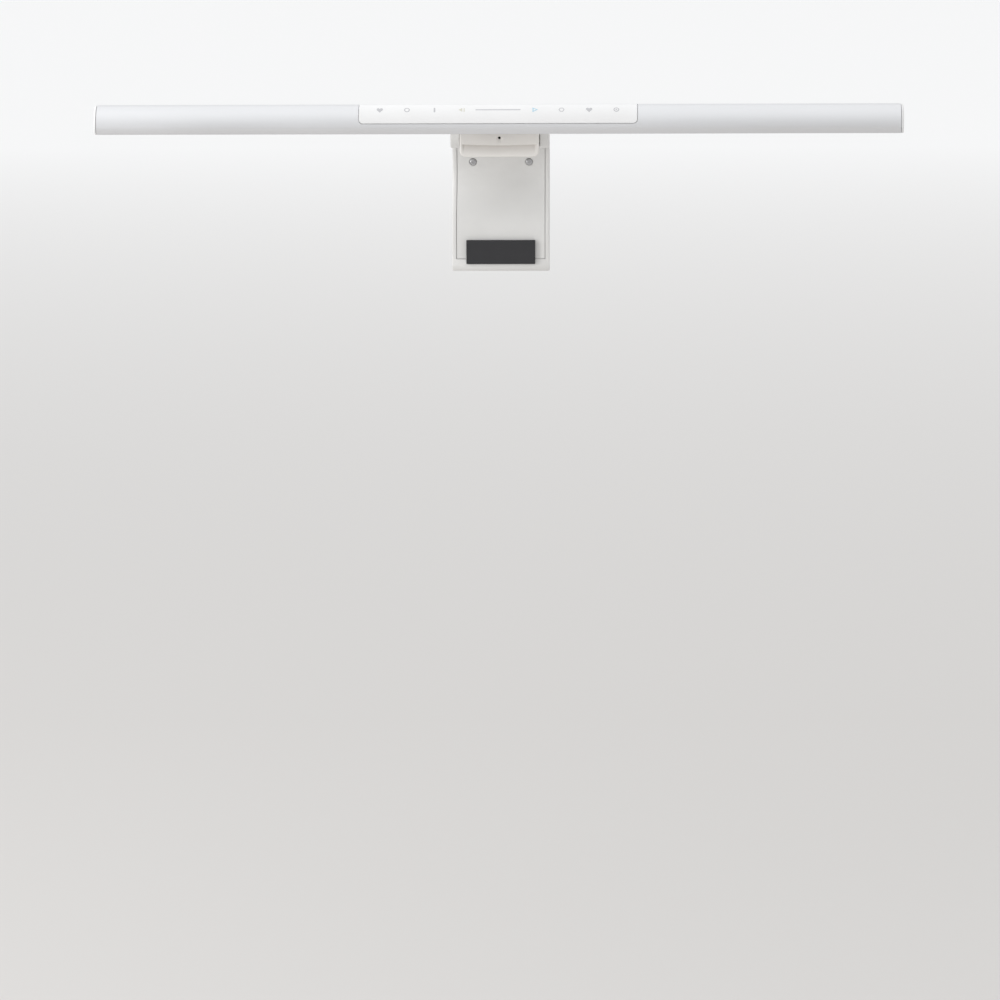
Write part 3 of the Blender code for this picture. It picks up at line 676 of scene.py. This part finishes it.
def plate_plastic_painted_shade():
    """The clamp's plastic, with painted shade: a darker colour from under the crease that fades
    downwards.
    """
    made = moulded("plate_plastic_painted_shade", CLAMP_COLOUR, 0.46)
    tree = made.node_tree
    base = tree.nodes["Principled BSDF"].inputs["Base Color"]
    place = axes(tree, "Object")
    # mask of the painted shade: under the sagging crease, fading downwards and towards the sides
    square = calculate(tree, "MULTIPLY", place["X"], place["X"])
    sag = calculate(tree, "MULTIPLY", square, CREASE_BOW / (PLATE_HIGH[0] ** 2 * MM))
    height = calculate(tree, "SUBTRACT", place["Z"], sag)
    top = (CREASE_Z - CREASE_BOW) * MM
    fade = remap(tree, height, From_Min=top - DISH_FADE * MM, From_Max=top)
    inner, outer = (((PLATE_HIGH[0] - inset) * MM) ** 2 for inset in DISH_SIDES)
    sides = remap(tree, square, From_Min=inner, From_Max=outer, To_Min=1.0, To_Max=0.0)
    under = calculate(tree, "LESS_THAN", height, top)
    share = calculate(tree, "MULTIPLY", calculate(tree, "MULTIPLY", under, fade), sides)
    # painted shade: the colour multiplied darker inside the mask
    shade = tree.nodes.new("ShaderNodeMixRGB")
    shade.blend_type = "MULTIPLY"
    shade.inputs["Color2"].default_value = (*CREASE_PAINTED_SHADE, 1.0)
    tree.links.new(base.links[0].from_socket, shade.inputs["Color1"])
    tree.links.new(share, shade.inputs["Fac"])
    tree.links.new(shade.outputs["Color"], base)
    return made


def make_front_plate():
    """The plate as a fine height field with a rolled rim, the crease and the dish under it."""
    mesh = bmesh.new()
    front, rear = [], []
    low, high = PLATE_LOW[2], PLATE_HIGH[2]
    for j in range(PLATE_ROWS + 1):
        z = low + (high - low) * j / PLATE_ROWS
        rise = z - low
        half = PLATE_HIGH[0]
        if rise < PLATE_CORNER:
            half -= PLATE_CORNER - sqrt(max(0.0, PLATE_CORNER ** 2 - (PLATE_CORNER - rise) ** 2))
        line, behind = [], []
        for i in range(PLATE_COLUMNS + 1):
            share = sin((i / PLATE_COLUMNS - 0.5) * 2 * CROWDING) / sin(CROWDING)
            x = half * share
            line.append(mesh.verts.new((x * MM, (PLATE_LOW[1] + plate_face(x, z)) * MM, z * MM)))
            behind.append(mesh.verts.new((x * MM, PLATE_HIGH[1] * MM, z * MM)))
        front.append(line)
        rear.append(behind)
    for grid in (front, rear):
        for first, second in zip(grid, grid[1:]):
            bridge(mesh, first, second, closed=False)
    rim = [(front[0], rear[0]), (front[-1], rear[-1])]
    rim += [([row[k] for row in front], [row[k] for row in rear]) for k in (0, -1)]
    for first, second in rim:
        bridge(mesh, first, second, closed=False)
    bmesh.ops.recalc_face_normals(mesh, faces=mesh.faces)
    # the plate's material carries painted shade under the crease
    plate = add_piece("front_plate_fine", mesh, "clamp", plate_plastic_painted_shade(),
                      ["clamp_front_plate"])
    boolean(plate, sensor_port())
    plate.data.shade_smooth()
    plate.data.set_sharp_from_angle(angle=radians(38))


# ---------------------------------------------------------------- rear arm

def arm_middle():
    """The arm's middle line from the pivot, over and behind the monitor, down to the foot."""
    foot_top = FOOT[1] + FOOT_LENGTH
    line = bezier(PIVOT, (20.0, 16.0), (43.0, 14.0), (45.0, -14.0), 48)
    line += bezier((45.0, -14.0), (46.0, -32.0), (FOOT[0], -38.0), (FOOT[0], foot_top), 40)[1:]
    return line + [FOOT]


def arm_at(share):
    """The point at a share of the middle line's length, with the outward normal there."""
    line = arm_middle()
    runs = [hypot(b[0] - a[0], b[1] - a[1]) for a, b in zip(line, line[1:])]
    left = share * sum(runs)
    for a, b, run in zip(line, line[1:], runs):
        if left <= run or b == line[-1]:
            along = left / run
            step = (b[0] - a[0], b[1] - a[1])
            return (a[0] + step[0] * along, a[1] + step[1] * along), (-step[1] / run, step[0] / run)
        left -= run


def arm_half(share):
    """Half the arm's thickness at a share of its length."""
    swell = ARM_SWELL * max(0.0, 1.0 - share / 0.25)
    return ARM_HALF + swell + (FOOT_HALF - ARM_HALF) * min(1.0, share / 0.75)


def arm_band(outer, inner, start, stop, steps):
    """A stretch of the arm between two offsets; each is a function of half the thickness."""
    top, low = [], []
    for i in range(steps + 1):
        share = start + (stop - start) * i / steps
        (y, z), (ny, nz) = arm_at(share)
        half = arm_half(share)
        top.append((y + ny * outer(half), z + nz * outer(half)))
        low.append((y - ny * inner(half), z - nz * inner(half)))
    return top, low[::-1]


def rod(axis, centre, radius, start, stop):
    """A round rod between two places along an axis."""
    return turned(axis, centre, [(radius, start), (radius, stop)])


def make_arm():
    """The arm's casing and inner cover, with the same openings as in the frame."""
    top, low = arm_band(lambda h: h, lambda h: h, ARM_START, 1.0, 110)
    outline = []
    for centre, radius, start, stop in EAR_CORNERS:
        outline += arc(centre, (radius, radius), start, stop, 20)
    outline += top + arc(FOOT, (FOOT_HALF, FOOT_END), 0, -180, 30)[1:-1] + low
    outline += arc(PIVOT, (EAR_UNDER, EAR_UNDER), -32, -90, 16)
    shell = add_piece("arm_casing", prism("X", outline, ARM_LOW[0], ARM_HIGH[0]), "rear_arm",
                      ARM_PLASTIC, ["arm_shell"])
    soften(shell, 0.9, 50, 4)
    apply_modifiers(shell)
    edge = PIVOT[0] + 3.0
    pocket = [(-10.0, -4.0), (edge, -4.0)]
    pocket += arc(PIVOT, (POCKET_RADIUS, POCKET_RADIUS), -POCKET_TURN, POCKET_TURN, 40)
    pocket += [(edge, 25.0), (-10.0, 25.0)]
    boolean(shell, prism("X", pocket, -EAR_INNER, EAR_INNER))
    top, low = arm_band(lambda h: h - ARM_WALL, lambda h: h + 1.0, *CHANNEL, 83)
    boolean(shell, prism("X", top + low, -CHANNEL_HALF, CHANNEL_HALF))
    for side in (-1, 1):
        centre = (side * COVER_SCREW[0], COVER_SCREW[1])
        boolean(shell, rod("Y", centre, *BOSS), "UNION")
        boolean(shell, rod("Y", centre, *BOSS_HOLE))
        for radius, start, stop in PIN_HOLES:
            boolean(shell, rod("X", PIVOT, radius, side * start, side * stop))
    soften(shell, 0.18, 50, 2)
    top, low = arm_band(lambda h: COVER - h, lambda h: h,
                        CHANNEL[0] + COVER_END_GAP, CHANNEL[1] - COVER_END_GAP, 80)
    cover = add_piece("arm_cover_plate", prism("X", top + low, -COVER_HALF, COVER_HALF),
                      "rear_arm", ARM_PLASTIC, ["arm_inner_cover"])
    for side in (-1, 1):
        centre = (side * COVER_SCREW[0], COVER_SCREW[1])
        for hole in COVER_HOLES:
            boolean(cover, rod("Y", centre, *hole))
    soften(cover, 0.2, 50, 2)


# ---------------------------------------------------------------- the other CAD nodes

SCREWS = [
    # node, body, whether the head faces -Y, head depth, shank radius
    ("arm_cover_screw_left", "rear_arm", True, 1.3, 0.9),
    ("arm_cover_screw_right", "rear_arm", True, 1.3, 0.9),
    ("bracket_screw_1", "lamp", False, 1.1, 1.0),
    ("bracket_screw_2", "lamp", False, 1.1, 1.0),
    ("bracket_screw_3", "lamp", False, 1.1, 1.0),
    ("bracket_screw_4", "lamp", False, 1.1, 1.0),
]
SCREW_HEAD = [(0.62, 0.0), (0.84, 0.1), (0.95, 0.32), (1.0, 0.7)]  # share of the radius, depth
SCREW_SOCKET = 0.48             # the socket's corners, as a share of the head's radius


def make_screws():
    """Pan-head screws with a hexagon socket."""
    for name, body, forward, depth, shank in SCREWS:
        low, high = span_of(name)
        centre = ((low[0] + high[0]) / 2, (low[2] + high[2]) / 2)
        radius = (high[0] - low[0]) / 2
        face, tip = (low[1], high[1]) if forward else (high[1], low[1])
        way = 1 if forward else -1
        profile = [(radius * r, face + way * d) for r, d in SCREW_HEAD + [(1.0, depth)]]
        profile += [(shank, face + way * depth), (shank, tip)]
        mesh = turned("Y", centre, profile, 40)
        screw = add_piece(f"{name}_fine", mesh, body, STEEL, [name])
        socket = [(centre[0] + x, centre[1] + z)
                  for x, z in ellipse(SCREW_SOCKET * radius, SCREW_SOCKET * radius, 6)]
        boolean(screw, prism("Y", socket, *sorted((face - way * 0.5, face + way * 0.7))))


REFINED = [
    # node, body, material, slot, edge radius in millimetres
    ("rear_cover", "lamp", BODY_PLASTIC, "body_plastic", 0.2),
    ("tilt_bracket", "lamp", STEEL, "steel", 0.15),
    ("clamp_body", "clamp", BODY_PLASTIC, "body_plastic", 0.25),
    ("clamp_base_plate", "clamp", BODY_PLASTIC, "body_plastic", 0.15),
    ("seat_pad", "clamp", SILICONE, "silicone", 0.2),
    ("lip_pad", "clamp", SILICONE, "silicone", 0.12),
    ("arm_pad", "rear_arm", SILICONE, "silicone", 0.3),
    ("pin_cap_left", "rear_arm", BODY_PLASTIC, "body_plastic", 0.1),
    ("pin_cap_right", "rear_arm", BODY_PLASTIC, "body_plastic", 0.1),
]

FINISHES = {
    "light_diffuser": OPAL, "slider_light_guide": OPAL, "usb_c_receptacle": STEEL,
    "heat_sink_rail": RAIL, "reflector": FILM, "led_board_left": WHITE_BOARD,
    "led_board_right": WHITE_BOARD, "touch_board": BOARD, "control_board": BOARD,
    "motion_sensor_board": BOARD, "motion_sensor_lens": LENS, "counterweight": ZINC,
    "friction_washer_left": ACETAL, "friction_washer_right": ACETAL, "arm_bush_left": ACETAL,
    "arm_bush_right": ACETAL,
}

REBUILT = {"lamp_housing", "touch_panel", "end_cap_left", "end_cap_right", "clamp_front_plate",
           "arm_shell", "arm_inner_cover"}


def finish_nodes():
    """Refine the visible moulded nodes and give every other CAD node its own finish."""
    for name, body, material, slot, width in REFINED:
        refined(name, body, material, width)
    done = REBUILT | {row[0] for row in REFINED + SCREWS}
    for name in sorted(set(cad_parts) - done):
        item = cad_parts[name]
        item.data.materials.clear()
        item.data.materials.append(FINISHES.get(name, STEEL))


# ---------------------------------------------------------------- stage

def studio_world():
    """Soft surroundings: bright overhead, dimmer level with the viewer and to the right."""
    world = bpy.data.worlds.new("studio")
    world.use_nodes = True
    tree = world.node_tree
    back = tree.nodes["Background"]
    way = axes(tree, "Generated")
    high = remap(tree, way["Z"], From_Min=0.0, From_Max=0.8, To_Min=0.0, To_Max=1.0)
    behind = remap(tree, way["Y"], From_Min=-0.3, From_Max=0.6, To_Min=0.0, To_Max=BACK_SHARE)
    most = calculate(tree, "MAXIMUM", high, behind)
    level = remap(tree, most, To_Min=FRONT_LIGHT, To_Max=HIGH_LIGHT)
    side = remap(tree, way["X"], From_Min=-1.0, From_Max=1.0,
                 To_Min=1.0 + SIDE_FALL, To_Max=1.0 - SIDE_FALL)
    tree.links.new(calculate(tree, "MULTIPLY", level, side), back.inputs["Strength"])
    back.inputs["Color"].default_value = (*SKY_COLOUR, 1.0)
    bpy.context.scene.world = world


def area_light(name, place, size, watts):
    """A soft square lamp turned towards the object."""
    lamp = bpy.data.lights.new(name, "AREA")
    lamp.size = size
    lamp.energy = watts
    made = bpy.data.objects.new(name, lamp)
    made.location = place
    made.rotation_euler = (-Vector(place)).to_track_quat("-Z", "Y").to_euler()
    bpy.context.scene.collection.objects.link(made)


def pale_floor():
    """A plain matt floor with painted shade under and before the object and painted light that makes
    it paler behind it; clear from underneath.
    """
    made = new_material("pale_floor", NEAR_FLOOR_PAINTED_SHADE, 0.9)
    tree = made.node_tree
    shader = tree.nodes["Principled BSDF"]
    near, far = FLOOR_BLEND
    reach = remap(tree, axes(tree, "Object")["Y"], From_Min=near, From_Max=far)
    # painted shade near the object giving way to painted light behind it
    blend = tree.nodes.new("ShaderNodeMixRGB")
    blend.inputs["Color1"].default_value = (*NEAR_FLOOR_PAINTED_SHADE, 1.0)
    blend.inputs["Color2"].default_value = (*FAR_FLOOR_PAINTED_LIGHT, 1.0)
    tree.links.new(reach, blend.inputs["Fac"])
    tree.links.new(blend.outputs["Color"], shader.inputs["Base Color"])
    facing = tree.nodes.new("ShaderNodeNewGeometry")
    clear = tree.nodes.new("ShaderNodeBsdfTransparent")
    either = tree.nodes.new("ShaderNodeMixShader")
    tree.links.new(facing.outputs["Backfacing"], either.inputs["Fac"])
    tree.links.new(shader.outputs["BSDF"], either.inputs[1])
    tree.links.new(clear.outputs["BSDF"], either.inputs[2])
    tree.links.new(either.outputs["Shader"], tree.nodes["Material Output"].inputs["Surface"])
    return made


def make_stage():
    """Pale floor, soft lights and the camera."""
    mesh = bmesh.new()
    bmesh.ops.create_grid(mesh, x_segments=2, y_segments=2, size=FLOOR_HALF)
    data = bpy.data.meshes.new("floor")
    mesh.to_mesh(data)
    mesh.free()
    floor = bpy.data.objects.new("floor", data)
    floor.location.z = DESK_Z
    bpy.context.scene.collection.objects.link(floor)
    data.materials.append(pale_floor())
    studio_world()
    for name, place, size, watts in LAMPS:
        area_light(name, place, size, watts)

    camera = bpy.data.cameras.new("camera")
    camera.lens = LENS_MM
    camera.sensor_width = 36.0
    camera.clip_end = 300.0
    eye = bpy.data.objects.new("camera", camera)
    eye.location = CAMERA_AT
    turn = Euler((CAMERA_TILT, 0.0, CAMERA_TURN)).to_matrix()
    roll = Euler((0.0, 0.0, CAMERA_ROLL)).to_matrix()
    eye.rotation_euler = (turn @ roll).to_euler()
    bpy.context.scene.collection.objects.link(eye)
    bpy.context.scene.camera = eye
    bpy.context.scene.view_settings.view_transform = "Standard"


make_stage()
make_housing()
make_panel()
make_caps()
make_prints()
make_front_plate()
make_arm()
make_screws()
finish_nodes()
